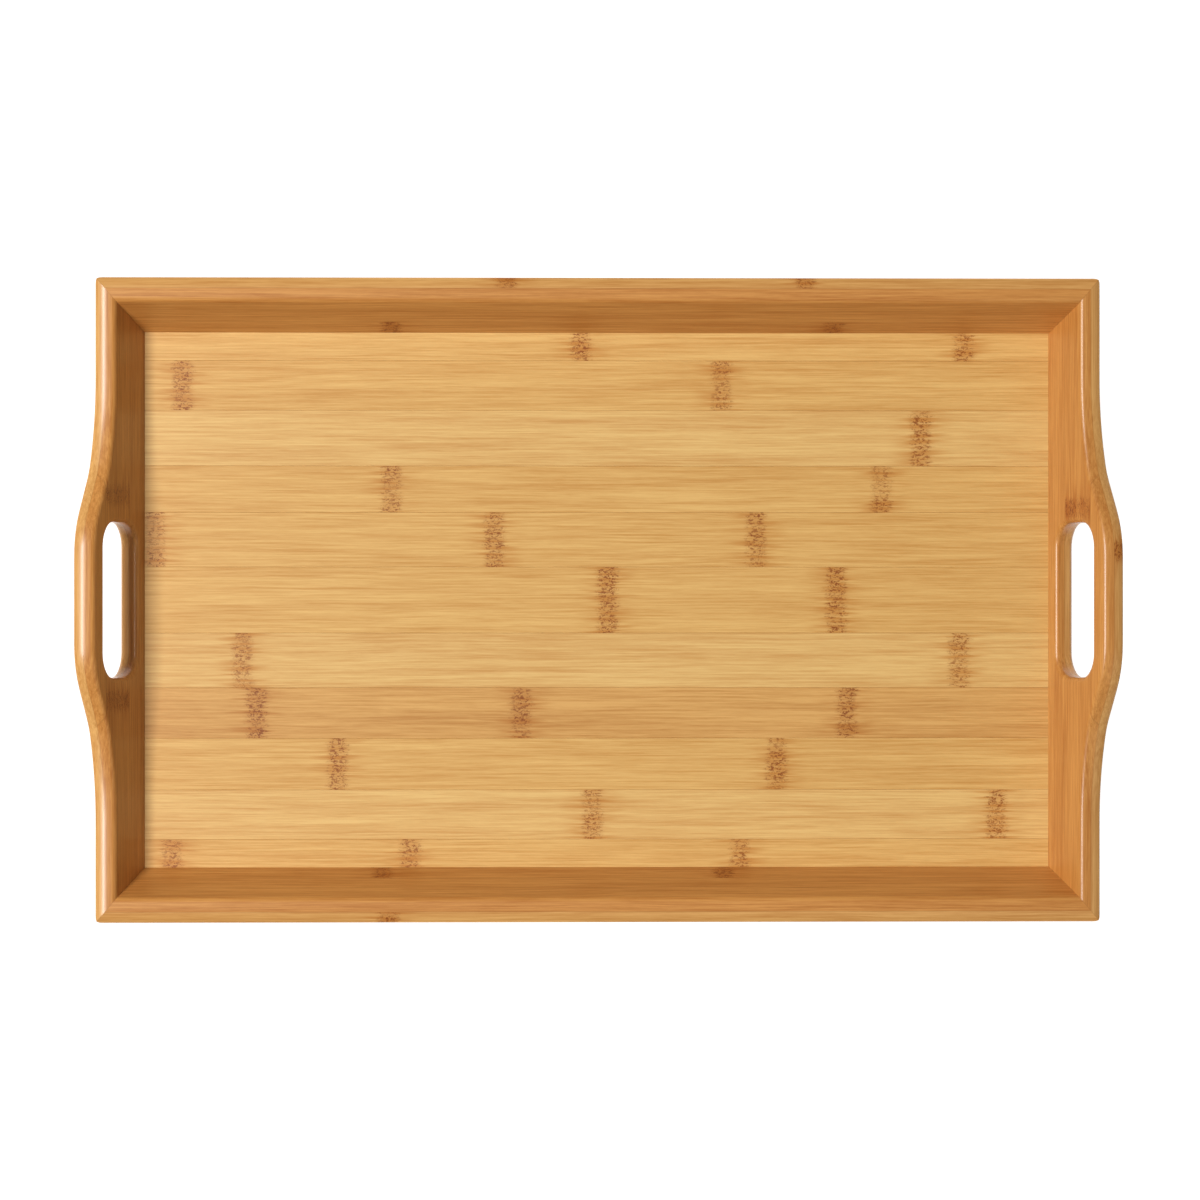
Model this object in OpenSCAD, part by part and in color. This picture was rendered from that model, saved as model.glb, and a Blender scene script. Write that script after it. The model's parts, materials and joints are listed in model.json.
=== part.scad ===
// Bamboo serving tray: a strip floor held in grooves by four leaning, mitred walls. The two
// end boards rise in a soft S-curve to handles with rounded hand slots. Each wall is glued up
// from an inner and an outer ply, and each ply from strips laid edge to edge.

/* [Overall size] */
// Length over the two handles
tray_length = 502; // [480:2:560]
// Width over the two long rails
tray_width = 312; // [300:2:360]
// Height of the rim at the corners
rim_height = 38; // [37:0.5:41]
// Height of the top of each handle
handle_height = 58; // [56:0.5:60]

/* [Walls] */
// Thickness of each end board, both plies together
end_thickness = 10; // [8:0.5:11]
// Thickness of each long rail, both plies together
rail_thickness = 11.5; // [8.5:0.5:12]
// Lean of the end boards from upright, in degrees
end_lean = 23.5; // [18:0.5:27]
// Lean of the long rails from upright, in degrees
rail_lean = 26; // [18:0.5:27]

/* [Hand slots] */
// Length of each hand slot, with its rounded ends
slot_length = 74.5; // [68:0.5:84]
// Height of each hand slot, measured up the leaning board
slot_height = 34.5; // [28:0.5:35]
// Radius of the slot's four corners
slot_corner = 12; // [9:0.5:14]
// Wood left between the floor and the slot, measured up the leaning board
slot_sill = 7.25; // [6.5:0.25:9]

/* [Handle outline] */
// Half the length of the level crest on top of the handle
crest_half = 21; // [18:1:25]
// Radius of the shoulder at each end of the crest
crest_radius = 50; // [44:1:54]
// Radius of the hollow below the shoulder
hollow_radius = 45; // [36:1:48]
// Radius of the long sweep that runs out into the level rim
sweep_radius = 170; // [150:5:180]
// Steepest slope of the S-curve, in degrees
slope_angle = 26; // [24:0.5:28]
// Slope where the hollow meets the sweep, in degrees
sweep_angle = 14; // [12:0.5:14]

/* [Floor] */
// Height of the serving surface above the table
floor_top = 10; // [9:0.5:12]
// Thickness of the floor strips
floor_thickness = 4; // [3.5:0.5:5]
// Reach of the groove beyond the visible edge of the floor
groove_reach = 6; // [5.5:0.25:6.5]
// Gap left at the bottom of the groove for the floor to swell into
swell_gap = 0.5; // [0.25:0.25:1]
// Widths of the nine middle floor strips, rear to front; the two edge strips fill the rest
strip_widths = [24, 27, 22.5, 26.5, 32, 26.5, 24.5, 25, 24]; // each [20:0.5:34]

/* [Lamination] */
// Glue joints in the inner ply of an end board, measured up the board from the floor
end_inner_joints = [16, 40]; // [14:0.5:44]
// Glue joints in the outer ply of an end board, half a strip away from the inner ones
end_outer_joints = [4, 28]; // [2:0.5:32]
// Glue joint in the inner ply of a long rail, measured up the rail from the floor
rail_inner_joints = [11]; // [9:0.5:14]
// Glue joints in the outer ply of a long rail
rail_outer_joints = [-1, 23]; // [-2:0.5:25]

/* [Corner splines] */
// Width of each loose spline across the mitre
spline_width = 9; // [7:0.5:9]
// Thickness of each loose spline
spline_thickness = 2.5; // [2:0.25:3]
// Height of a spline's lower end above the table
spline_low = 15; // [14:0.5:17]
// Height of a spline's upper end above the table
spline_high = 30; // [26:0.5:31]

/* [Hidden] */

$fn = 96;
LEFT = 0;
RIGHT = 1;
FRONT = 0;
REAR = 1;
reach = 700; // longer than the whole tray, for cutting solids
spline_depth = 0.45; // share of the wall's thickness at which the middle of a spline lies

// Walls: level widths across the leaning boards, and the edges of the visible floor
end_level = end_thickness / cos(end_lean);
rail_level = rail_thickness / cos(rail_lean);
floor_half_x = tray_length / 2 - end_level - (handle_height - floor_top) * tan(end_lean);
floor_half_y = tray_width / 2 - rail_level - (rim_height - floor_top) * tan(rail_lean);

// Lowest and highest points of each board, measured up its slope from the floor
end_foot = -(floor_top / cos(end_lean) + end_thickness);
end_crown = (handle_height - floor_top) / cos(end_lean) + end_thickness;
rail_foot = -(floor_top / cos(rail_lean) + rail_thickness);
rail_crown = (rim_height - floor_top) / cos(rail_lean) + rail_thickness;

// Mitre: it holds the inner corner edge (rising along corner_rise) and the line across the
// rim to the outer corner (corner_across)
corner_foot = [floor_half_x, floor_half_y, floor_top];
corner_rise = [tan(end_lean), tan(rail_lean), 1];
corner_across = [end_level, rail_level, 0];
mitre_normal = cross(corner_rise, corner_across);

// Stations of the handle outline, from the crest out to the level rim
crest_end = [crest_half, handle_height];
slope_start = crest_end + crest_radius * [sin(slope_angle), cos(slope_angle) - 1];
hollow_step = hollow_radius * [
    sin(slope_angle) - sin(sweep_angle),
    cos(slope_angle) - cos(sweep_angle)
];
sweep_step = sweep_radius * [sin(sweep_angle), cos(sweep_angle) - 1];
slope_drop = slope_start.y + hollow_step.y + sweep_step.y - rim_height;
slope_end = slope_start + slope_drop * [1 / tan(slope_angle), -1];
sweep_start = slope_end + hollow_step;
sweep_end = sweep_start + sweep_step;

// Floor: the far edges of the strips, rear to front
panel_half_x = floor_half_x + groove_reach - swell_gap;
panel_half_y = floor_half_y + groove_reach - swell_gap;
middle_width = strip_widths * [for (w = strip_widths) 1];
strip_edges = [
    panel_half_y,
    for (i = [0:len(strip_widths)]) middle_width / 2 - sum_to(strip_widths, i),
    -panel_half_y
];

// Sum of the first n values of a list
function sum_to(list, n) = n == 0 ? 0 : list[n - 1] + sum_to(list, n - 1);

// Everything below the plane through point p with normal n
module half_space(p, n) {
    translate(p)
        rotate([0, acos(n.z / norm(n)), atan2(n.y, n.x)])
            translate([-reach, -reach, -2 * reach])
                cube(2 * reach);
}

// Outline of an end board seen from the side: x runs along the board, y is height. It is cut
// from a plain rectangle, so that each round stretch is one true arc.
module handle_outline() {
    half_length = reach / 2;
    above = handle_height + 1;
    shoulder = [crest_half + crest_radius * tan(slope_angle / 2), handle_height];
    difference() {
        translate([-half_length, 0]) square([2 * half_length, handle_height]);
        for (side = [0, 1]) mirror([side, 0]) {
            // round the shoulder below the corner of its two tangents
            difference() {
                translate([crest_half, slope_start.y])
                    square([slope_start.x - crest_half, above - slope_start.y]);
                translate(crest_end - [0, crest_radius]) circle(r = crest_radius);
            }
            // clear everything above the slope and the chords of the hollow and the sweep
            polygon([
                shoulder, slope_start, slope_end, sweep_start, sweep_end,
                [half_length + 1, rim_height], [half_length + 1, above], [shoulder.x, above]
            ]);
            // scoop out the hollow and the sweep below their chords
            intersection() {
                translate(slope_end + hollow_radius * [sin(slope_angle), cos(slope_angle)])
                    circle(r = hollow_radius);
                translate(slope_end - [0, handle_height])
                    square([hollow_step.x, 2 * handle_height]);
            }
            intersection() {
                translate(sweep_end + [0, sweep_radius]) circle(r = sweep_radius);
                translate(sweep_start - [0, handle_height])
                    square([sweep_step.x, 2 * handle_height]);
            }
        }
    }
}

// Level cavity that the floor panel is slid into
module floor_groove() {
    half_x = floor_half_x + groove_reach;
    half_y = floor_half_y + groove_reach;
    translate([-half_x, -half_y, floor_top - floor_thickness])
        cube([2 * half_x, 2 * half_y, floor_thickness]);
}

// One loose spline, lying across the mitre of the rear right corner
module spline_solid() {
    rise = corner_rise / norm(corner_rise);
    tilt = acos(rise.z);
    turn = atan2(rise.y, rise.x);
    ahead = [cos(tilt) * cos(turn), cos(tilt) * sin(turn), -sin(tilt)];
    aside = [-sin(turn), cos(turn), 0];
    spin = atan2(mitre_normal * aside, mitre_normal * ahead);
    foot = corner_foot + corner_rise * (spline_low - floor_top) + spline_depth * corner_across;
    translate(foot)
        rotate([0, tilt, turn])
            rotate([0, 0, spin])
                translate([-spline_width / 2, -spline_thickness / 2, 0])
                    cube([spline_width, spline_thickness, (spline_high - spline_low) / rise.z]);
}

// The splines of one end of the tray, front and rear
module end_splines() {
    for (side = [0, 1]) mirror([0, side, 0]) spline_solid();
}

// Right-hand end board's own axes: x out through the board, z up its slope from the floor
module on_end() {
    translate([floor_half_x, 0, floor_top]) rotate([0, end_lean, 0]) children();
}

// Rear rail's own axes: y out through the rail, z up its slope from the floor
module on_rail() {
    translate([0, floor_half_y, floor_top]) rotate([-rail_lean, 0, 0]) children();
}

// The hand slot, cut square through the end board with rounded corners
module hand_slot() {
    half = [slot_height / 2 - slot_corner, slot_length / 2 - slot_corner];
    on_end() translate([-end_thickness, 0, slot_sill + slot_height / 2]) rotate([0, 90, 0])
        linear_extrude(height = 3 * end_thickness) {
            for (x = [-1, 1], y = [-1, 1]) translate([x * half.x, y * half.y])
                circle(r = slot_corner);
            square([slot_height, 2 * half.y], center = true);
            square([2 * half.x, slot_length], center = true);
        }
}

// One strip of an end board: between depths d[0] and d[1], and between heights s[0] and s[1]
module end_strip(side, d, s) {
    mirror([1 - side, 0, 0]) difference() {
        intersection() {
            on_end() translate([d[0], -reach / 2, s[0]]) cube([d[1] - d[0], reach, s[1] - s[0]]);
            rotate([90, 0, 90]) linear_extrude(height = reach) handle_outline();
            half_space(corner_foot, mitre_normal);
            mirror([0, 1, 0]) half_space(corner_foot, mitre_normal);
        }
        hand_slot();
        floor_groove();
        end_splines();
    }
}

// One strip of a long rail
module rail_strip(side, d, s) {
    mirror([0, 1 - side, 0]) difference() {
        intersection() {
            on_rail() translate([-reach / 2, d[0], s[0]]) cube([reach, d[1] - d[0], s[1] - s[0]]);
            translate([-reach / 2, 0, 0]) cube([reach, reach, rim_height]);
            half_space(corner_foot, -mitre_normal);
            mirror([1, 0, 0]) half_space(corner_foot, -mitre_normal);
        }
        floor_groove();
        spline_solid();
        mirror([1, 0, 0]) spline_solid();
    }
}

// Heights of strip i of a ply, between two of its edges: foot, glue joints and crown
function span(edges, i) = [edges[i - 1], edges[i]];

module end_inner_strip(side, i) {
    edges = concat(end_foot, end_inner_joints, end_crown);
    color(i == 2 ? "#D9A866" : "#DDB075")
        end_strip(side, [0, end_thickness / 2], span(edges, i));
}

module end_outer_strip(side, i) {
    edges = concat(end_foot, end_outer_joints, end_crown);
    color(i == 2 ? "#DFB47A" : "#D6A462")
        end_strip(side, [end_thickness / 2, end_thickness], span(edges, i));
}

module rail_inner_strip(side, i) {
    edges = concat(rail_foot, rail_inner_joints, rail_crown);
    color(i == 2 ? "#DDB075" : "#D4A160")
        rail_strip(side, [0, rail_thickness / 2], span(edges, i));
}

module rail_outer_strip(side, i) {
    edges = concat(rail_foot, rail_outer_joints, rail_crown);
    color(i == 2 ? "#D6A462" : "#DFB47A")
        rail_strip(side, [rail_thickness / 2, rail_thickness], span(edges, i));
}

module floor_strip(i) {
    rear = strip_edges[i - 1];
    front = strip_edges[i];
    color(i % 3 == 0 ? "#E3BD85" : i % 3 == 1 ? "#D9AC6E" : "#DEB479")
        translate([-panel_half_x, front, floor_top - floor_thickness])
            cube([2 * panel_half_x, rear - front, floor_thickness]);
}

module corner_spline(side, depth) {
    color("#C8965A") mirror([1 - side, 0, 0]) mirror([0, 1 - depth, 0]) spline_solid();
}

for (i = [1:11])
    floor_strip(i);
for (i = [1:3]) {
    end_inner_strip(LEFT, i);
    end_outer_strip(LEFT, i);
    end_inner_strip(RIGHT, i);
    end_outer_strip(RIGHT, i);
    rail_outer_strip(FRONT, i);
    rail_outer_strip(REAR, i);
}
for (i = [1:2]) {
    rail_inner_strip(FRONT, i);
    rail_inner_strip(REAR, i);
}
corner_spline(LEFT, FRONT);  // front_left_spline
corner_spline(RIGHT, FRONT);  // front_right_spline
corner_spline(LEFT, REAR);  // rear_left_spline
corner_spline(RIGHT, REAR);  // rear_right_spline
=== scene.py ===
"""Looks of the bamboo serving tray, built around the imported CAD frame. Metres, +Z up.

Each glued strip of the walls and the floor gets its own mesh with eased edges and its own
bamboo, and stands for the CAD node of the same name. The splines keep their CAD meshes.
"""

import json
import math

import bmesh
import bpy
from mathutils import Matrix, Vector


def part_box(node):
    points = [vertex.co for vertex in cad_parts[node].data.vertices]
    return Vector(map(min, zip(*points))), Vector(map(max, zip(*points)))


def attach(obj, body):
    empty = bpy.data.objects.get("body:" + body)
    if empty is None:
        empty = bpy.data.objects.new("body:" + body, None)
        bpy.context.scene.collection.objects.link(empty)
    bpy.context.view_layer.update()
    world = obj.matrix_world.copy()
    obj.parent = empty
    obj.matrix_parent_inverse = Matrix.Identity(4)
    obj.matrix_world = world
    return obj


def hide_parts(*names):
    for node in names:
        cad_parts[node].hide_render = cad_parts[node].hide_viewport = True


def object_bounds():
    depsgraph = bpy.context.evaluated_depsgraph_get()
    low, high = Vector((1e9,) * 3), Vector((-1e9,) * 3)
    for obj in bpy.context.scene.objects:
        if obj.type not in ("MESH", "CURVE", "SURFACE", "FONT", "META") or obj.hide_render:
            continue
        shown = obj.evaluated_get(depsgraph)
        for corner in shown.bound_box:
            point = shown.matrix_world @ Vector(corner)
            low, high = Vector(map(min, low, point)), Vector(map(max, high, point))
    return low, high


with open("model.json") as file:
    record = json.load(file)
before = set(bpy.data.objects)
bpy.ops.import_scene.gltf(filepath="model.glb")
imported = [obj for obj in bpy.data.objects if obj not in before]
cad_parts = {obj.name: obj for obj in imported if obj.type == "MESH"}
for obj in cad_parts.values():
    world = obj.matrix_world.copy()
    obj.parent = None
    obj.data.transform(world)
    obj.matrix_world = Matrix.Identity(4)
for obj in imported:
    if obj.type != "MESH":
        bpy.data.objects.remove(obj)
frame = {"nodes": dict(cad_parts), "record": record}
cad_low, cad_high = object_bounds()

MM = 0.001
# Distances taken as nothing, for cuts and for joining the points of a mesh
TINY = 1e-7
WELD = 1e-6

# Thickness and lean of the boards, as designed
END_THICKNESS = 10 * MM
RAIL_THICKNESS = 11.5 * MM
END_LEAN = math.radians(23.5)
RAIL_LEAN = math.radians(26)

# Outline of the handles: a level crest, a shoulder, a straight slope, a hollow and a sweep
CREST_HALF = 21 * MM
CREST_RADIUS = 50 * MM
HOLLOW_RADIUS = 45 * MM
SWEEP_RADIUS = 170 * MM
SLOPE_ANGLE = math.radians(26)
SWEEP_ANGLE = math.radians(14)

# Hand slots, measured up the leaning board
SLOT_HALF = 37.25 * MM
SLOT_HEIGHT = 34.5 * MM
SLOT_RADIUS = 12 * MM
SLOT_SILL = 7.25 * MM

# Eased edges
RIM_INNER_RADIUS = 3 * MM
RIM_CROWN_RADIUS = 10.5 * MM
RIM_CROWN_ANGLE = math.radians(32)
RIM_OUTER_RADIUS = 1 * MM
FOOT_RADIUS = 0.8 * MM
SLOT_EDGE_RADIUS = 2.5 * MM
CORNER_RADIUS = 4.5 * MM
STRIP_EASE = 0.12 * MM

# Steps that make up each round stretch
RIM_STEPS = 6
RIM_OUTER_STEPS = 8
FOOT_OUTER_STEPS = 3
FOOT_INNER_STEPS = 4
HOLLOW_STEPS = 5
SWEEP_STEPS = 10
SLOT_STEPS = 12
SLOT_EDGE_STEPS = 5
CORNER_STEPS = 6

# How far a board runs on past the tray before its mitres are cut
OVERSHOOT = 15 * MM
# Share of half the corner that is sliced for rounding, so a little past the mitre
CORNER_OVERLAP = 1.2
# Points farther than this from the corner's axis belong to another edge
CORNER_REACH = 3 * CORNER_RADIUS
# Least cosine between a normal kept on a face and the face's own direction
SAME_FACE = 0.8
# Least cosine between a kept normal and a polygon that it may shade
SMOOTH_LIMIT = 0.3

# How far the cut for the floor's groove goes into the boards, past the floor's visible edge
GROOVE_REACH = 6 * MM

# Read from the frame
FLOOR_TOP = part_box("floor_strip_1")[1].z
FLOOR_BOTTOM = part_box("floor_strip_1")[0].z
RIM_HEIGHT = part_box("rear_rail_inner_strip_2")[1].z
HANDLE_HEIGHT = cad_high.z
END_LEVEL = END_THICKNESS / math.cos(END_LEAN)
RAIL_LEVEL = RAIL_THICKNESS / math.cos(RAIL_LEAN)
FLOOR_HALF_X = cad_high.x - END_LEVEL - (HANDLE_HEIGHT - FLOOR_TOP) * math.tan(END_LEAN)
FLOOR_HALF_Y = cad_high.y - RAIL_LEVEL - (RIM_HEIGHT - FLOOR_TOP) * math.tan(RAIL_LEAN)

# Name of the mesh layer that keeps the smooth normals of the whole board
SHADE = "shade"


# ---------------------------------------------------------------- board sections

def arc(centre, radius, start, end, steps):
    """Points of a round stretch. Angles turn from straight up towards the outside."""
    angles = [start + (end - start) * i / steps for i in range(steps + 1)]
    return [(centre[0] + radius * math.sin(a), centre[1] + radius * math.cos(a)) for a in angles]


def rim_section():
    """Section over the top of a board, from its inner face to its outer face, as
    (share of the board's level width, height above the rim line). It is worked out on
    an end board, and the rails take the same shares."""
    turn = math.pi / 2 - END_LEAN
    inner_centre = (RIM_INNER_RADIUS * math.tan(turn / 2), -RIM_INNER_RADIUS)
    inner = arc(inner_centre, RIM_INNER_RADIUS, -turn, 0, RIM_STEPS)
    last = math.pi / 2 + END_LEAN
    crown_width = RIM_CROWN_RADIUS * math.sin(RIM_CROWN_ANGLE)
    crown_drop = RIM_CROWN_RADIUS * (1 - math.cos(RIM_CROWN_ANGLE))
    edge_width = RIM_OUTER_RADIUS * (math.sin(last) - math.sin(RIM_CROWN_ANGLE))
    edge_drop = RIM_OUTER_RADIUS * (math.cos(RIM_CROWN_ANGLE) - math.cos(last))
    crown_start = END_LEVEL - (crown_drop + edge_drop) * math.tan(END_LEAN) - crown_width - edge_width
    crown = arc((crown_start, -RIM_CROWN_RADIUS), RIM_CROWN_RADIUS, 0, RIM_CROWN_ANGLE, RIM_STEPS)
    edge_centre = (
        crown_start + crown_width - RIM_OUTER_RADIUS * math.sin(RIM_CROWN_ANGLE),
        -crown_drop - RIM_OUTER_RADIUS * math.cos(RIM_CROWN_ANGLE),
    )
    edge = arc(edge_centre, RIM_OUTER_RADIUS, RIM_CROWN_ANGLE, last, RIM_OUTER_STEPS)
    points = inner + crown + edge[1:]
    return [((x - z * math.tan(END_LEAN)) / END_LEVEL, z) for x, z in points]


def foot_section():
    """Section under a board, from its outer face to its inner face, as (share, height)."""
    sharp, blunt = math.pi / 2 + END_LEAN, math.pi / 2 - END_LEAN
    outer_x = END_LEVEL + FOOT_RADIUS * (math.tan(END_LEAN) - 1 / math.cos(END_LEAN))
    inner_x = FOOT_RADIUS * (math.tan(END_LEAN) + 1 / math.cos(END_LEAN))
    outer = arc((outer_x, FOOT_RADIUS), FOOT_RADIUS, math.pi - blunt, math.pi, FOOT_OUTER_STEPS)
    inner = arc((inner_x, FOOT_RADIUS), FOOT_RADIUS, math.pi, math.pi + sharp, FOOT_INNER_STEPS)
    return [((x - z * math.tan(END_LEAN)) / END_LEVEL, z) for x, z in outer + inner]


RIM = rim_section()
FOOT = foot_section()


def easing(foot, radius, start, end, steps):
    """Points of a curve that flattens from one downward slope to another, after its foot."""
    angles = [start + (end - start) * i / steps for i in range(1, steps + 1)]
    return [
        (
            foot[0] + radius * (math.sin(start) - math.sin(a)),
            foot[1] - radius * (math.cos(a) - math.cos(start)),
        )
        for a in angles
    ]


def handle_stations():
    """(distance from the middle, rim height) along half an end board. The shoulder has the
    stations that the slot's round end needs."""
    points = [(0, HANDLE_HEIGHT), (CREST_HALF, HANDLE_HEIGHT)]
    shoulder_z = HANDLE_HEIGHT - CREST_RADIUS
    reach = SLOT_RADIUS + SLOT_EDGE_RADIUS
    straight = SLOT_HALF - SLOT_RADIUS
    for k in range(SLOT_STEPS + 1):
        y = straight + reach * math.sin(math.pi / 2 * k / SLOT_STEPS)
        points.append((y, shoulder_z + math.sqrt(CREST_RADIUS**2 - (y - CREST_HALF) ** 2)))
    slope_start = (
        CREST_HALF + CREST_RADIUS * math.sin(SLOPE_ANGLE),
        HANDLE_HEIGHT - CREST_RADIUS * (1 - math.cos(SLOPE_ANGLE)),
    )
    hollow_drop = HOLLOW_RADIUS * (math.cos(SWEEP_ANGLE) - math.cos(SLOPE_ANGLE))
    sweep_drop = SWEEP_RADIUS * (1 - math.cos(SWEEP_ANGLE))
    slope_end_z = RIM_HEIGHT + hollow_drop + sweep_drop
    slope_end = (slope_start[0] + (slope_start[1] - slope_end_z) / math.tan(SLOPE_ANGLE), slope_end_z)
    points += [slope_start, slope_end]
    points += easing(points[-1], HOLLOW_RADIUS, SLOPE_ANGLE, SWEEP_ANGLE, HOLLOW_STEPS)
    points += easing(points[-1], SWEEP_RADIUS, SWEEP_ANGLE, 0, SWEEP_STEPS)
    points.append((cad_high.y + OVERSHOOT, RIM_HEIGHT))
    return points


class Board:
    """A whole wall in its own axes: u along it, v outwards, z up. The strips are cut from it.
    Its stations are (u, rim height)."""

    def __init__(self, foot, lean, thickness, stations, slotted):
        self.foot, self.lean, self.thickness = foot, lean, thickness
        self.level = thickness / math.cos(lean)
        self.bm = bmesh.new()
        self.rim = [[self.level_point(u, a, top + h) for a, h in RIM] for u, top in stations]
        self.under = [[self.level_point(u, a, z) for a, z in FOOT] for u, top in stations]
        self.slot = self.slot_rings([u for u, top in stations]) if slotted else {}
        for i in range(len(stations) - 1):
            self.skin(self.rim[i], self.rim[i + 1])
            self.skin(self.under[i], self.under[i + 1])
            self.side(i, 0, -1, 0)
            self.side(i, -1, 0, -1)
        bmesh.ops.recalc_face_normals(self.bm, faces=self.bm.faces)
        self.store_normals()
        for i in (0, -1):
            self.bm.faces.new(self.rim[i] + self.under[i])
        bmesh.ops.recalc_face_normals(self.bm, faces=self.bm.faces)

    def level_point(self, u, share, z):
        v = self.foot + (z - FLOOR_TOP) * math.tan(self.lean) + share * self.level
        return self.bm.verts.new((u, v, z))

    def place(self, u, s, depth):
        """A point given along the board, up its slope from the floor and into its thickness."""
        sin, cos = math.sin(self.lean), math.cos(self.lean)
        return Vector((u, self.foot + s * sin + depth * cos, FLOOR_TOP + s * cos - depth * sin))

    def skin(self, a, b):
        for j in range(len(a) - 1):
            self.bm.faces.new((a[j], a[j + 1], b[j + 1], b[j]))

    def slot_rings(self, us):
        """The slot's eased wall, as {station: (upper row, lower row)}."""
        quarter = [math.pi / 2 * i / SLOT_EDGE_STEPS for i in range(SLOT_EDGE_STEPS + 1)]
        row = [(1 - math.sin(a), 1 - math.cos(a)) for a in quarter]
        profile = [(SLOT_EDGE_RADIUS * a, SLOT_EDGE_RADIUS * d) for a, d in row]
        profile += [(a, self.thickness - d) for a, d in reversed(profile)]
        straight = SLOT_HALF - SLOT_RADIUS
        reach = SLOT_RADIUS + SLOT_EDGE_RADIUS
        middle = SLOT_SILL + SLOT_HEIGHT / 2
        rings = {}
        for i, u in enumerate(us):
            if abs(u) > straight + reach + TINY:
                continue
            angle = math.asin(min(max(abs(u) - straight, 0) / reach, 1))
            rows = []
            for up in (1, -1):
                verts = []
                for a, d in profile:
                    r = SLOT_RADIUS + a
                    along = u if angle == 0 else math.copysign(straight + r * math.sin(angle), u)
                    rise = SLOT_HEIGHT / 2 - SLOT_RADIUS + r * math.cos(angle)
                    verts.append(self.bm.verts.new(self.place(along, middle + up * rise, d)))
                rows.append(verts)
            rings[i] = rows
        order = sorted(rings)
        for i, j in zip(order, order[1:]):
            self.skin(rings[i][0], rings[j][0])
            self.skin(rings[i][1], rings[j][1])
        for tip in (order[0], order[-1]):
            self.skin(*rings[tip])
        return rings

    def side(self, i, rim_end, under_end, ring_end):
        """One stretch of a flat face, above and below the slot where there is one. The ends
        say which end of the rim, the foot and the slot's rows lies on this face."""
        top = (self.rim[i][rim_end], self.rim[i + 1][rim_end])
        low = (self.under[i][under_end], self.under[i + 1][under_end])
        a, b = self.slot.get(i), self.slot.get(i + 1)
        if a and b:
            self.bm.faces.new((top[0], top[1], b[0][ring_end], a[0][ring_end]))
            self.bm.faces.new((a[1][ring_end], b[1][ring_end], low[1], low[0]))
        elif a or b:
            upper, lower = ((a or b)[k][ring_end] for k in (0, 1))
            if b:
                self.bm.faces.new((top[0], top[1], upper, lower, low[1], low[0]))
            else:
                self.bm.faces.new((top[0], top[1], low[1], low[0], lower, upper))
        else:
            self.bm.faces.new((top[0], top[1], low[1], low[0]))

    def store_normals(self):
        """Keeps each corner's smooth normal, so that a cut strip still shades as its board."""
        layer = self.bm.loops.layers.float_vector.new(SHADE)
        for vert in self.bm.verts:
            total = Vector()
            for face in vert.link_faces:
                total += face.normal * face.calc_area()
            total.normalize()
            for loop in vert.link_loops:
                loop[layer] = total


# ---------------------------------------------------------------- cutting strips

def plane(point, normal):
    return Vector(point), Vector(normal).normalized()


def mitre_plane(swap):
    """The mitre at +u, in a board's axes, facing away from the board's middle. swap says
    that the board lies across the tray, as an end board does."""
    point = Vector((FLOOR_HALF_X, FLOOR_HALF_Y, FLOOR_TOP))
    rise = Vector((math.tan(END_LEAN), math.tan(RAIL_LEAN), 1))
    across = Vector((END_LEVEL, RAIL_LEVEL, 0))
    normal = rise.cross(across)
    if swap:
        point, normal = point.yxz, normal.yxz
    if normal.x < 0:
        normal.negate()
    return plane(point, normal)


def cut(bm, point, normal):
    """Takes away what lies beyond a plane and closes the cut with flat faces."""
    bmesh.ops.bisect_plane(
        bm, geom=bm.verts[:] + bm.edges[:] + bm.faces[:], dist=TINY, plane_co=point,
        plane_no=normal, clear_outer=True,
    )
    layer = bm.loops.layers.float_vector[SHADE]
    open_edges = [e for e in bm.edges if e.is_boundary]
    for face in bmesh.ops.holes_fill(bm, edges=open_edges)["faces"]:
        for loop in face.loops:
            loop[layer] = (0, 0, 0)


def round_corner(bm, swap, side):
    """Eases the outer corner of the tray at one end of a board, where the mitre comes out."""
    rise = Vector((math.tan(END_LEAN), math.tan(RAIL_LEAN), 1)).normalized()
    corner = Vector((FLOOR_HALF_X + END_LEVEL, FLOOR_HALF_Y + RAIL_LEVEL, FLOOR_TOP))
    own = Vector((0, math.cos(RAIL_LEAN), -math.sin(RAIL_LEAN)))
    other = Vector((math.cos(END_LEAN), 0, -math.sin(END_LEAN)))
    if swap:
        rise, corner, own, other = rise.yxz, corner.yxz, other.yxz, own.yxz
    for vector in (rise, corner, own, other):
        vector.x *= side
    centre = corner - (own + other) * CORNER_RADIUS / (1 + own.dot(other))
    tangent = (other - own * own.dot(other)).normalized()
    half = math.acos(own.dot(other)) / 2
    layer = bm.loops.layers.float_vector[SHADE]
    for k in range(CORNER_STEPS + 1):
        angle = half * CORNER_OVERLAP * k / CORNER_STEPS
        direction = own * math.cos(angle) + tangent * math.sin(angle)
        bmesh.ops.bisect_plane(
            bm, geom=bm.verts[:] + bm.edges[:] + bm.faces[:], dist=TINY, plane_co=centre,
            plane_no=rise.cross(direction).normalized(),
        )
    for vert in bm.verts:
        arm = vert.co - centre
        arm -= rise * arm.dot(rise)
        if arm.dot(tangent) <= TINY or arm.dot(own) < 0:
            continue
        if not CORNER_RADIUS < arm.length < CORNER_REACH:
            continue
        away = arm.normalized()
        vert.co -= away * (arm.length - CORNER_RADIUS)
        for loop in vert.link_loops:
            if loop[layer].dot(own) > SAME_FACE:
                loop[layer] = away


# ---------------------------------------------------------------- bamboo

# Sizes of the grain along the fibres, across them and into the wood, in millimetres
DRIFT_SIZE = (80, 18, 18)
STREAK_SIZE = (42, 0.95, 0.95)
BAND_SIZE = (160, 6, 6)
LINE_SIZE = (55, 0.9, 0.9)
PORE_SIZE = (6, 0.4, 0.4)
# How far the fibres wander, in millimetres
DRIFT = 2.0

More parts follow.
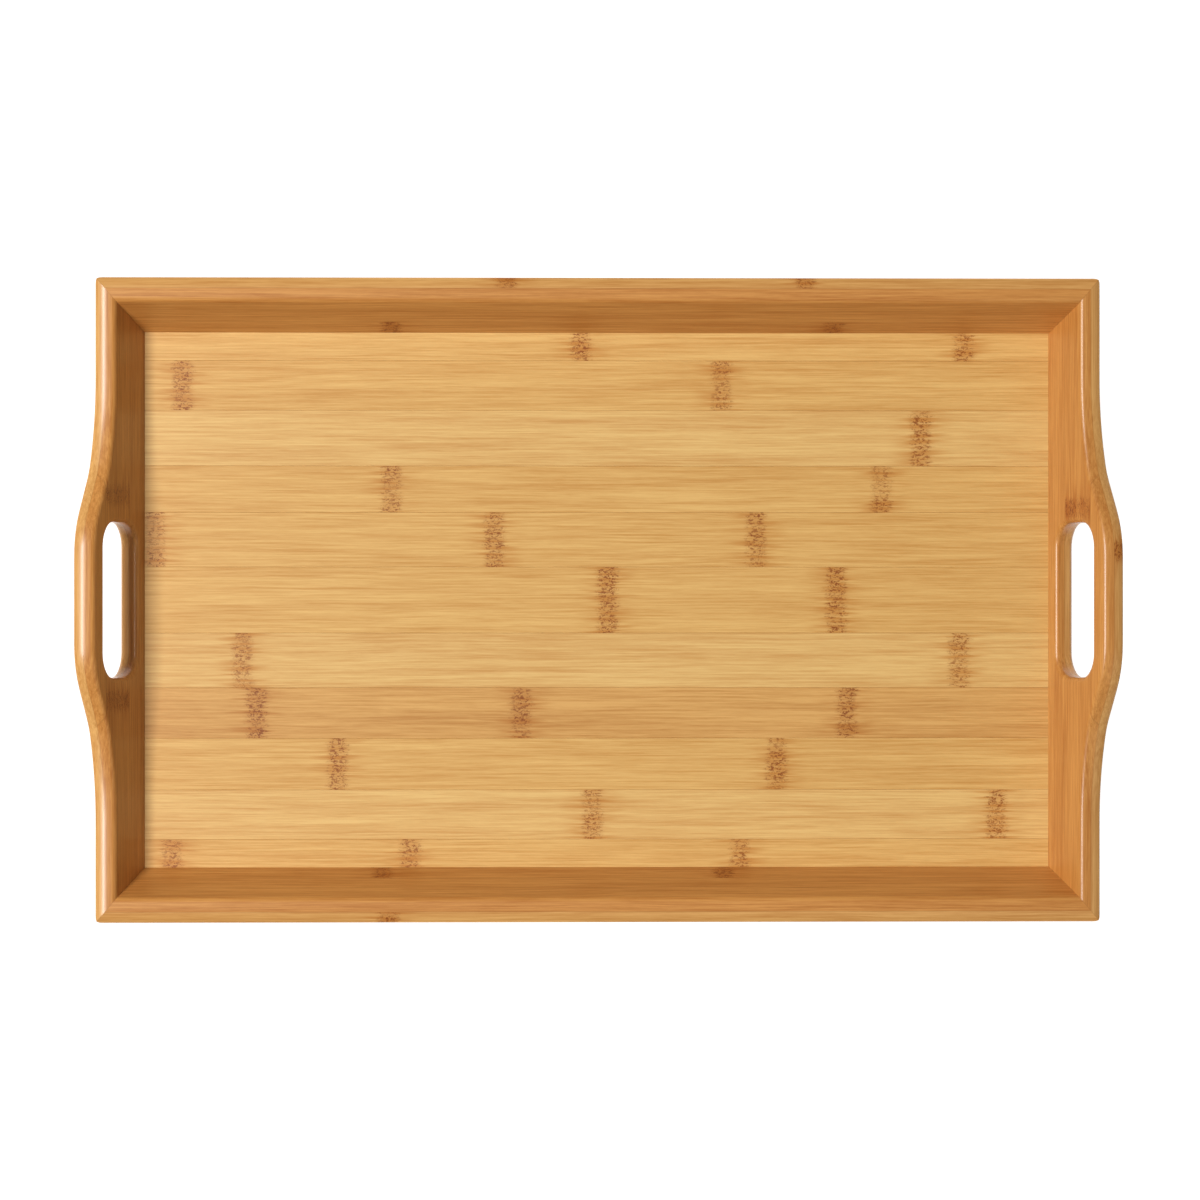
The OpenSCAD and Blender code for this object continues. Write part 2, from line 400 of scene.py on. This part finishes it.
# What each part of the grain adds to the tone, from dark to light, and to the relief
TONE_MIDDLE = 0.56
TONE_WEIGHTS = {"Streak": 2.3, "Band": 1.1, "Pore": 0.6}
LINE_WEIGHT = -0.3
RELIEF_MIDDLE = 0.5
RELIEF_WEIGHTS = {"Streak": 0.6, "Pore": 0.5}
RELIEF_STRENGTH = 0.35
RELIEF_DEPTH = 0.06 * MM
ROUGHNESS_MIDDLE = 0.38
ROUGHNESS_WEIGHT = 0.16

# Node marks, in millimetres: a band with a ragged edge, and stains that run out of it
RAGGED_SIZE = (16, 0.8, 0.8)
RAGGED = 9.0
MARK_CORE, MARK_EDGE = 2.0, 6.4
PATCH_SIZE = (60, 6, 6)
PATCH_LEAST = 0.55
SMEAR_SIZE = (26, 1.5, 1.5)
STAIN_CORE, STAIN_EDGE = 1, 18
# Flecks inside a node mark: their size, and how far and how often they bow
FLECK_SIZE = (2.6, 0.85, 0.85)
BOW_SIZE = (1.6, 1.3, 1.3)
BOW = 3.0
# Colours inside a node mark, as shares of the dark tone of the strip, and their strengths
MARK_STAIN = (0.86, 0.66, 0.38)
MARK_FLECK = (0.44, 0.22, 0.08)
STAIN_STRENGTH = 0.8
BAND_STRENGTH = 0.42
FLECK_STRENGTH = 0.92
FLECK_RELIEF = -0.5

# Glue lines: strength, and distances over which they fade
GLUE_STRENGTH = 0.22
GLUE_CORE, GLUE_EDGE = 0.05 * MM, 0.35 * MM


def linear(*rgb):
    """A colour given as 0 to 255 display values, for a colour socket."""
    return tuple(c / 255 / 12.92 if c <= 10 else ((c / 255 + 0.055) / 1.055) ** 2.4 for c in rgb) + (1,)


def tinted(colour, shares):
    return tuple(c * share for c, share in zip(colour, shares)) + (1,)


# Tone of a glue line, as 0 to 255 display values
GLUE_TONE = (140, 84, 36)
# Millimetres between the stretches of grain of one seed and the next, along each axis
ALONG_STRIDE, ACROSS_STRIDE, DEPTH_STRIDE = 613.0, 37.0, 91.0
# Noise values between which each feature grows from nothing to full
LINE_LIMITS = (0.6, 0.74)
SMEAR_LIMITS = (0.4, 0.66)
PATCH_LIMITS = (0.3, 0.6)
FLECK_LIMITS = (0.47, 0.61)


class Graph:
    """Short calls for a node tree. An input is a number, a colour, a vector or a socket."""

    def __init__(self, tree):
        self.tree = tree
        tree.nodes.clear()

    def node(self, kind, inputs=(), **settings):
        made = self.tree.nodes.new(kind)
        for name, value in settings.items():
            setattr(made, name, value)
        for name, value in dict(inputs).items():
            if isinstance(value, bpy.types.NodeSocket):
                self.tree.links.new(value, made.inputs[name])
            else:
                made.inputs[name].default_value = value
        return made

    def math(self, operation, a, b=0.0, c=0.0, clamp=False):
        inputs = {0: a, 1: b, 2: c}
        return self.node("ShaderNodeMath", inputs, operation=operation, use_clamp=clamp).outputs[0]

    def offset(self, noise, reach):
        """A noise value as an offset, up to half the reach either way."""
        return self.math("MULTIPLY", self.math("SUBTRACT", noise, 0.5), reach)

    def weigh(self, value, weight, noise):
        """Moves a value by a noise, so that middle grey leaves it as it is."""
        return self.math("MULTIPLY_ADD", self.math("SUBTRACT", noise, 0.5), weight, value)

    def vector(self, operation, a, b):
        made = self.node("ShaderNodeVectorMath", {0: a, 1: b}, operation=operation)
        return made.outputs["Value" if operation == "DOT_PRODUCT" else "Vector"]

    def bent(self, place, reach):
        """A place moved across the fibres by the same reach both ways."""
        moved = self.node("ShaderNodeCombineXYZ", {"Y": reach, "Z": reach}).outputs[0]
        return self.vector("ADD", place, moved)

    def noise(self, place, size, detail=2.0, roughness=0.5):
        """Noise whose grains are about size along each axis."""
        scaled = self.vector("DIVIDE", place, size)
        inputs = {"Vector": scaled, "Scale": 1.0, "Detail": detail, "Roughness": roughness}
        return self.node("ShaderNodeTexNoise", inputs).outputs["Fac"]

    def ramp(self, value, low, high, out_low=0.0, out_high=1.0):
        inputs = {"Value": value, "From Min": low, "From Max": high, "To Min": out_low, "To Max": out_high}
        return self.node("ShaderNodeMapRange", inputs, interpolation_type="SMOOTHSTEP").outputs["Result"]

    def mix(self, share, a, b):
        return self.node("ShaderNodeMix", {0: share, 6: a, 7: b}, data_type="RGBA").outputs[2]

    def use(self, tree, inputs):
        """One use of a node group."""
        return self.node("ShaderNodeGroup", inputs, node_tree=tree).outputs


def group(name, inputs, outputs):
    """A new node group and its graph; sockets are given as {name: type}."""
    tree = bpy.data.node_groups.new(name, "ShaderNodeTree")
    for direction, sockets in (("INPUT", inputs), ("OUTPUT", outputs)):
        for socket, kind in sockets.items():
            tree.interface.new_socket(socket, in_out=direction, socket_type="NodeSocket" + kind)
    graph = Graph(tree)
    return graph, graph.node("NodeGroupInput").outputs, graph.node("NodeGroupOutput").inputs


def grain_group():
    """Grain of a bamboo strip. Place is in millimetres, with x along the fibres."""
    parts = {part: "Float" for part in ("Streak", "Band", "Line", "Pore")}
    graph, given, out = group("bamboo_grain", {"Place": "Vector"}, parts)
    drift = graph.offset(graph.noise(given["Place"], DRIFT_SIZE, 1), DRIFT)
    place = graph.bent(given["Place"], drift)
    link = graph.tree.links.new
    link(graph.noise(place, STREAK_SIZE, 3, 0.65), out["Streak"])
    link(graph.noise(place, BAND_SIZE, 2, 0.5), out["Band"])
    link(graph.ramp(graph.noise(place, LINE_SIZE, 1), *LINE_LIMITS), out["Line"])
    link(graph.noise(place, PORE_SIZE, 2, 0.6), out["Pore"])
    return graph.tree


def mark_group():
    """A node mark across the strip: how far into its band, and how much stain beside it."""
    graph, given, out = group(
        "bamboo_mark", {"Place": "Vector", "Centre": "Float"}, {"Band": "Float", "Stain": "Float"}
    )
    along = graph.node("ShaderNodeSeparateXYZ", {0: given["Place"]}).outputs[0]
    ragged = graph.offset(graph.noise(given["Place"], RAGGED_SIZE, 2, 0.6), RAGGED)
    away = graph.math("ADD", graph.math("SUBTRACT", along, given["Centre"]), ragged)
    away = graph.math("ABSOLUTE", away)
    smear = graph.ramp(graph.noise(given["Place"], SMEAR_SIZE, 2), *SMEAR_LIMITS)
    patch = graph.ramp(graph.noise(given["Place"], PATCH_SIZE, 1), *PATCH_LIMITS, PATCH_LEAST, 1)
    link = graph.tree.links.new
    link(graph.math("MULTIPLY", graph.ramp(away, MARK_CORE, MARK_EDGE, 1, 0), patch), out["Band"])
    link(graph.math("MULTIPLY", graph.ramp(away, STAIN_CORE, STAIN_EDGE, 1, 0), smear), out["Stain"])
    return graph.tree


def fleck_group():
    """Short dark crescents, lying along the fibres, inside a node mark."""
    graph, given, out = group("bamboo_flecks", {"Place": "Vector"}, {"Dark": "Float"})
    bow = graph.offset(graph.noise(given["Place"], BOW_SIZE, 1), BOW)
    place = graph.bent(given["Place"], bow)
    dark = graph.ramp(graph.noise(place, FLECK_SIZE, 2, 0.6), *FLECK_LIMITS)
    graph.tree.links.new(dark, out["Dark"])
    return graph.tree


GRAIN, MARK, FLECKS = grain_group(), mark_group(), fleck_group()


def add_marks(graph, place, centres, strength, dark, colour, relief):
    """Lays node marks over a colour and a relief. The centres are places along the fibres."""
    stained, flecked = tinted(dark, MARK_STAIN), tinted(dark, MARK_FLECK)
    band, stain = 0.0, 0.0
    for centre in centres:
        made = graph.use(MARK, {"Place": place, "Centre": centre})
        band = graph.math("MAXIMUM", band, made["Band"])
        stain = graph.math("MAXIMUM", stain, made["Stain"])
    dent = graph.math("MULTIPLY", band, graph.use(FLECKS, {"Place": place})["Dark"])
    colour = graph.mix(graph.math("MULTIPLY", stain, STAIN_STRENGTH), colour, stained)
    colour = graph.mix(graph.math("MULTIPLY", band, BAND_STRENGTH * strength), colour, stained)
    colour = graph.mix(graph.math("MULTIPLY", dent, FLECK_STRENGTH), colour, flecked)
    return colour, graph.math("MULTIPLY_ADD", dent, FLECK_RELIEF, relief)


def add_joints(graph, here, joints, colour):
    """Darkens a colour beside the planes of the glue lines."""
    nearest = 1.0
    for point, normal in joints:
        level = graph.vector("DOT_PRODUCT", here, tuple(normal))
        level = graph.math("SUBTRACT", level, point.dot(normal))
        nearest = graph.math("MINIMUM", nearest, graph.math("ABSOLUTE", level))
    glue = graph.ramp(nearest, GLUE_CORE, GLUE_EDGE, GLUE_STRENGTH, 0)
    return graph.mix(glue, colour, linear(*GLUE_TONE))


def bamboo(name, along, seed, tones, marks=(), joints=(), mark_strength=1.0):
    """Lacquered bamboo. along is the axis of its fibres, tones are its light and dark colour,
    marks are the places of its nodes on that axis in millimetres, and joints are the planes
    of its glue lines. The seed takes each strip to a part of the grain of its own."""
    light, dark = (linear(*tone) for tone in tones)
    shift = (ALONG_STRIDE * (seed % 7), ACROSS_STRIDE * seed, DEPTH_STRIDE * (seed % 5))
    material = bpy.data.materials.new(name)
    material.use_nodes = True
    graph = Graph(material.node_tree)
    here = graph.node("ShaderNodeTexCoord").outputs["Object"]
    axes = graph.node("ShaderNodeSeparateXYZ", {0: here}).outputs
    order = (0, 1, 2) if along == "x" else (1, 0, 2)
    turned = graph.node("ShaderNodeCombineXYZ", {i: axes[j] for i, j in enumerate(order)}).outputs[0]
    place = graph.vector("DIVIDE", turned, (MM, MM, MM))
    place = graph.vector("ADD", place, shift)
    grain = graph.use(GRAIN, {"Place": place})
    tone, relief = TONE_MIDDLE, RELIEF_MIDDLE
    for part, weight in TONE_WEIGHTS.items():
        tone = graph.weigh(tone, weight, grain[part])
    for part, weight in RELIEF_WEIGHTS.items():
        relief = graph.weigh(relief, weight, grain[part])
    tone = graph.math("MULTIPLY_ADD", grain["Line"], LINE_WEIGHT, tone, clamp=True)
    colour = graph.mix(tone, dark, light)
    if marks:
        centres = [mark + shift[0] for mark in marks]
        colour, relief = add_marks(graph, place, centres, mark_strength, dark, colour, relief)
    if joints:
        colour = add_joints(graph, here, joints, colour)
    bump_inputs = {"Strength": RELIEF_STRENGTH, "Distance": RELIEF_DEPTH, "Height": relief}
    bump = graph.node("ShaderNodeBump", bump_inputs)
    inputs = {
        "Base Color": colour,
        "Roughness": graph.weigh(ROUGHNESS_MIDDLE, ROUGHNESS_WEIGHT, grain["Streak"]),
        "IOR": 1.5,
        "Specular IOR Level": 0.35,
        "Coat Weight": 0.45,
        "Coat Roughness": 0.25,
        "Normal": bump.outputs[0],
    }
    shader = graph.node("ShaderNodeBsdfPrincipled", inputs)
    graph.node("ShaderNodeOutputMaterial", {"Surface": shader.outputs[0]})
    return material


# ---------------------------------------------------------------- pieces

def shade_as_stored(mesh):
    """Sets the normals kept by Board.store_normals; cut faces stay flat."""
    stored = mesh.attributes[SHADE].data
    normals = []
    for polygon in mesh.polygons:
        polygon.use_smooth = True
        for i in polygon.loop_indices:
            kept = Vector(stored[i].vector)
            smooth = kept.length > 0.5 and kept.normalized().dot(polygon.normal) > SMOOTH_LIMIT
            normals.append(kept.normalized() if smooth else polygon.normal)
    mesh.normals_split_custom_set(normals)
    mesh.attributes.remove(mesh.attributes[SHADE])


SPLINES = [corner + "_spline" for corner in ("front_left", "front_right", "rear_left", "rear_right")]


def pocket_cutter():
    """The floor groove and the four splines, as one mesh to take out of the boards."""
    bm = bmesh.new()
    for spline in SPLINES:
        bm.from_mesh(frame["nodes"][spline].data)
    bmesh.ops.remove_doubles(bm, verts=bm.verts, dist=WELD)
    corners = [
        bm.verts.new((x, y, z))
        for x in (-FLOOR_HALF_X - GROOVE_REACH, FLOOR_HALF_X + GROOVE_REACH)
        for y in (-FLOOR_HALF_Y - GROOVE_REACH, FLOOR_HALF_Y + GROOVE_REACH)
        for z in (FLOOR_BOTTOM, FLOOR_TOP)
    ]
    for ring in ((0, 1, 3, 2), (4, 6, 7, 5), (0, 4, 5, 1), (2, 3, 7, 6), (0, 2, 6, 4), (1, 5, 7, 3)):
        bm.faces.new([corners[i] for i in ring])
    bmesh.ops.recalc_face_normals(bm, faces=bm.faces)
    mesh = bpy.data.meshes.new("pocket_cutter")
    bm.to_mesh(mesh)
    bm.free()
    cutter = bpy.data.objects.new("pocket_cutter", mesh)
    bpy.context.scene.collection.objects.link(cutter)
    return cutter


def add_piece(node, mesh, material):
    piece = bpy.data.objects.new(node + "_board", mesh)
    bpy.context.scene.collection.objects.link(piece)
    mesh.materials.clear()
    mesh.materials.append(material)
    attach(piece, "root")
    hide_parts(node)


def slot_of(node):
    return next(s["material_slot"] for s in frame["record"]["subparts"] if s["node"] == node)


def wall_strip(board, node, cuts, swap, mirror, cutter, material):
    """Cuts one strip from its board, puts it in its place and lets in its pockets."""
    bm = board.bm.copy()
    layer = bm.loops.layers.float_vector[SHADE]
    for point, normal in cuts:
        cut(bm, point, normal)
    for vert in bm.verts:
        vert.co = place_in_tray(vert.co, swap, mirror)
    for face in bm.faces:
        for loop in face.loops:
            loop[layer] = place_in_tray(loop[layer], swap, mirror)
    bmesh.ops.recalc_face_normals(bm, faces=bm.faces)
    mesh = bpy.data.meshes.new(node)
    bm.to_mesh(mesh)
    bm.free()
    rough = bpy.data.objects.new(node + "_rough", mesh)
    bpy.context.scene.collection.objects.link(rough)
    pocket = rough.modifiers.new("pocket", "BOOLEAN")
    pocket.operation, pocket.solver, pocket.object = "DIFFERENCE", "EXACT", cutter
    evaluated = rough.evaluated_get(bpy.context.evaluated_depsgraph_get())
    final = bpy.data.meshes.new_from_object(evaluated)
    final.name = node + "_board"
    bpy.data.objects.remove(rough)
    shade_as_stored(final)
    add_piece(node, final, material)


def place_in_tray(vector, swap, mirror):
    """A board's u, v, z in the tray's frame, for the wall on the given side."""
    x, y, z = (vector.y, vector.x, vector.z) if swap else tuple(vector)
    if swap:
        return Vector((-x if mirror else x, y, z))
    return Vector((x, -y if mirror else y, z))


def other_end(vector):
    """The mirror image of a board's point or normal, at the board's other end."""
    return Vector((-vector.x, vector.y, vector.z))


def joint_heights(nodes, lean, depth):
    """Slope distances of the glue joints between the strips of a ply, lowest first. A strip's
    lowest point is on its lower joint, at the given depth."""
    return [(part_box(n)[0].z - FLOOR_TOP + depth * math.sin(lean)) / math.cos(lean) for n in nodes[1:]]


def build_wall(board, swap, side, mirror, cutter):
    """All strips of one wall, cut from its board. The joints are measured on the wall that
    is not mirrored."""
    kind = "end" if swap else "rail"
    measured_side = "right" if swap else "rear"
    point, normal = mitre_plane(swap)
    mitres = [(point, normal), (other_end(point), other_end(normal))]
    into = (board.place(0, 0, 1) - board.place(0, 0, 0)).normalized()
    up = (board.place(0, 1, 0) - board.place(0, 0, 0)).normalized()
    middle = board.place(0, 0, board.thickness / 2)
    for ply, count in WALL_STRIPS[kind].items():
        names = [f"{kind}_{ply}_strip_{i}" for i in range(1, count + 1)]
        depth = board.thickness / (2 if ply == "inner" else 1)
        heights = joint_heights([f"{measured_side}_{name}" for name in names], board.lean, depth)
        for i, name in enumerate(names):
            node = f"{side}_{name}"
            cuts = []
            if i > 0:
                cuts.append((board.place(0, heights[i - 1], 0), -up))
            if i < count - 1:
                cuts.append((board.place(0, heights[i], 0), up))
            cuts += mitres + [(middle, into if ply == "inner" else -into)]
            joints = [(place_in_tray(p, swap, mirror), place_in_tray(n, swap, mirror)) for p, n in cuts]
            along = "y" if swap else "x"
            marks = WALL_MARKS.get(node, ())
            # The inner ply takes darker tones: painted shade for the walls' inner faces
            material = bamboo(
                node + "_bamboo", along, SEEDS[node], WALL_TONES_INNER_PAINTED_SHADE[ply], marks, joints, WALL_MARK_STRENGTH
            )
            wall_strip(board, node, cuts, swap, mirror, cutter, material)


SEEDS = {node: i + 1 for i, node in enumerate(sorted(frame["nodes"]))}
WALL_STRIPS = {"end": {"inner": 3, "outer": 3}, "rail": {"inner": 2, "outer": 3}}

# Places of the node marks along each strip, in millimetres
FLOOR_MARKS = {
    1: (-8, 178), 2: (-201, 60), 3: (157,), 4: (-100, 138), 5: (-214, -50, 77), 6: (5, 116),
    7: (-172, 176), 8: (-165, -37, 121), 9: (-126, 87), 10: (-2.5, 194), 11: (-206, -91, 69),
}
WALL_MARKS = {
    "rear_rail_inner_strip_1": (-100, 114),
    "rear_rail_outer_strip_3": (-44, 99),
    "front_rail_inner_strip_1": (-104, 61),
    "front_rail_outer_strip_3": (-101,),
    "left_end_inner_strip_2": (50, -48),
    "right_end_inner_strip_2": (44,),
    "right_end_outer_strip_3": (23,),
}
WALL_MARK_STRENGTH = 1.5

# Light and dark tones, as 0 to 255 display values
# The inner ply's tones are darker and more saturated than the outer ply's. This is painted shade standing
# in for the shade on the walls' inner faces, and it also darkens the inner half of the rim.
WALL_TONES_INNER_PAINTED_SHADE = {
    "inner": ((221, 155, 80), (188, 118, 51)),
    "outer": ((231, 175, 102), (203, 140, 71)),
}
SPLINE_TONES = ((214, 160, 100), (180, 120, 66))
FLOOR_TONES = {
    "floor_bamboo": ((236, 189, 113), (210, 153, 79)),
    "floor_bamboo_light": ((239, 196, 122), (214, 159, 88)),
    "floor_bamboo_dark": ((229, 176, 102), (199, 140, 71)),
}


def floor_strip(i):
    """One floor strip with eased long edges."""
    node = f"floor_strip_{i}"
    low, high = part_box(node)
    e = STRIP_EASE
    ring = [
        (low.y + e, low.z), (high.y - e, low.z), (high.y, low.z + e), (high.y, high.z - e),
        (high.y - e, high.z), (low.y + e, high.z), (low.y, high.z - e), (low.y, low.z + e),
    ]
    bm = bmesh.new()
    ends = [[bm.verts.new((x, y, z)) for y, z in ring] for x in (low.x, high.x)]
    for k in range(len(ring)):
        n = (k + 1) % len(ring)
        bm.faces.new((ends[0][k], ends[0][n], ends[1][n], ends[1][k]))
    for end in ends:
        bm.faces.new(end)
    bmesh.ops.recalc_face_normals(bm, faces=bm.faces)
    mesh = bpy.data.meshes.new(node)
    bm.to_mesh(mesh)
    bm.free()
    slot = slot_of(node)
    joints = [plane((0, low.y, 0), (0, 1, 0)), plane((0, high.y, 0), (0, 1, 0))]
    material = bamboo(node + "_bamboo", "x", SEEDS[node], FLOOR_TONES[slot], FLOOR_MARKS[i], joints)
    add_piece(node, mesh, material)


half = handle_stations()
end_stations = [(-y, z) for y, z in reversed(half[1:])] + half
rail_reach = cad_high.x + OVERSHOOT
rail_stations = [(-rail_reach, RIM_HEIGHT), (rail_reach, RIM_HEIGHT)]
end_board = Board(FLOOR_HALF_X, END_LEAN, END_THICKNESS, end_stations, True)
rail_board = Board(FLOOR_HALF_Y, RAIL_LEAN, RAIL_THICKNESS, rail_stations, False)
for side in (1, -1):
    round_corner(end_board.bm, True, side)
    round_corner(rail_board.bm, False, side)
cutter = pocket_cutter()
for side, mirror in (("right", False), ("left", True)):
    build_wall(end_board, True, side, mirror, cutter)
for side, mirror in (("rear", False), ("front", True)):
    build_wall(rail_board, False, side, mirror, cutter)
bpy.data.objects.remove(cutter)
for i in FLOOR_MARKS:
    floor_strip(i)
for spline in SPLINES:
    materials = frame["nodes"][spline].data.materials
    materials.clear()
    materials.append(bamboo(spline + "_bamboo", "x", SEEDS[spline], SPLINE_TONES))


# ---------------------------------------------------------------- stage, light and camera

STAGE_REACH = 3.0
WORLD_STRENGTH = 0.1
# What the softboxes point at
AIM = Vector((0, 0, 0.02))


def stage_floor():
    """White paper that glows enough to leave no shadow."""
    bm = bmesh.new()
    turns = ((-1, -1), (1, -1), (1, 1), (-1, 1))
    bm.faces.new([bm.verts.new((x * STAGE_REACH, y * STAGE_REACH, 0)) for x, y in turns])
    mesh = bpy.data.meshes.new("stage_floor")
    bm.to_mesh(mesh)
    bm.free()
    floor = bpy.data.objects.new("stage_floor", mesh)
    bpy.context.scene.collection.objects.link(floor)
    material = bpy.data.materials.new("stage_paper")
    material.use_nodes = True
    graph = Graph(material.node_tree)
    inputs = {
        "Base Color": (0.25, 0.25, 0.25, 1), "Roughness": 0.9, "Specular IOR Level": 0.0,
        "Emission Color": (1, 1, 1, 1), "Emission Strength": 1.0,
    }
    shader = graph.node("ShaderNodeBsdfPrincipled", inputs)
    graph.node("ShaderNodeOutputMaterial", {"Surface": shader.outputs[0]})
    mesh.materials.append(material)


def softbox(name, place, size, power):
    """A rectangle of light; its size is given across the aim and up the aim."""
    light = bpy.data.lights.new(name, "AREA")
    light.shape = "RECTANGLE"
    light.size, light.size_y = size
    light.energy = power
    lamp = bpy.data.objects.new(name, light)
    bpy.context.scene.collection.objects.link(lamp)
    lamp.location = place
    lamp.rotation_mode = "QUATERNION"
    lamp.rotation_quaternion = (AIM - lamp.location).to_track_quat("-Z", "Y")
    lamp.visible_camera = False


stage_floor()
softbox("key", (-1.56, 0.12, 2.8), (1.7, 0.72), 98)
softbox("fill", (1.1, -0.9, 1.6), (1.6, 1.2), 2.5)

world = bpy.data.worlds.new("studio")
world.use_nodes = True
background = world.node_tree.nodes["Background"].inputs
background["Color"].default_value = (1, 1, 1, 1)
background["Strength"].default_value = WORLD_STRENGTH
bpy.context.scene.world = world
bpy.context.scene.view_settings.view_transform = "Standard"

# The camera looks down on the middle of the handles' level, from a little to the left
CAMERA_DISTANCE = 2.4
CAMERA_SIDE = -0.06
VIEW_WIDTH = 0.5707
SENSOR = 36.0
camera_data = bpy.data.cameras.new("camera")
camera_data.sensor_width = SENSOR
camera_data.lens = SENSOR * CAMERA_DISTANCE / VIEW_WIDTH
camera = bpy.data.objects.new("camera", camera_data)
bpy.context.scene.collection.objects.link(camera)
camera.location = (CAMERA_SIDE, 0, HANDLE_HEIGHT + CAMERA_DISTANCE)
back = (camera.location - Vector((0, 0, HANDLE_HEIGHT))).normalized()
camera.rotation_euler = (0, math.atan2(back.x, back.z), 0)
bpy.context.scene.camera = camera
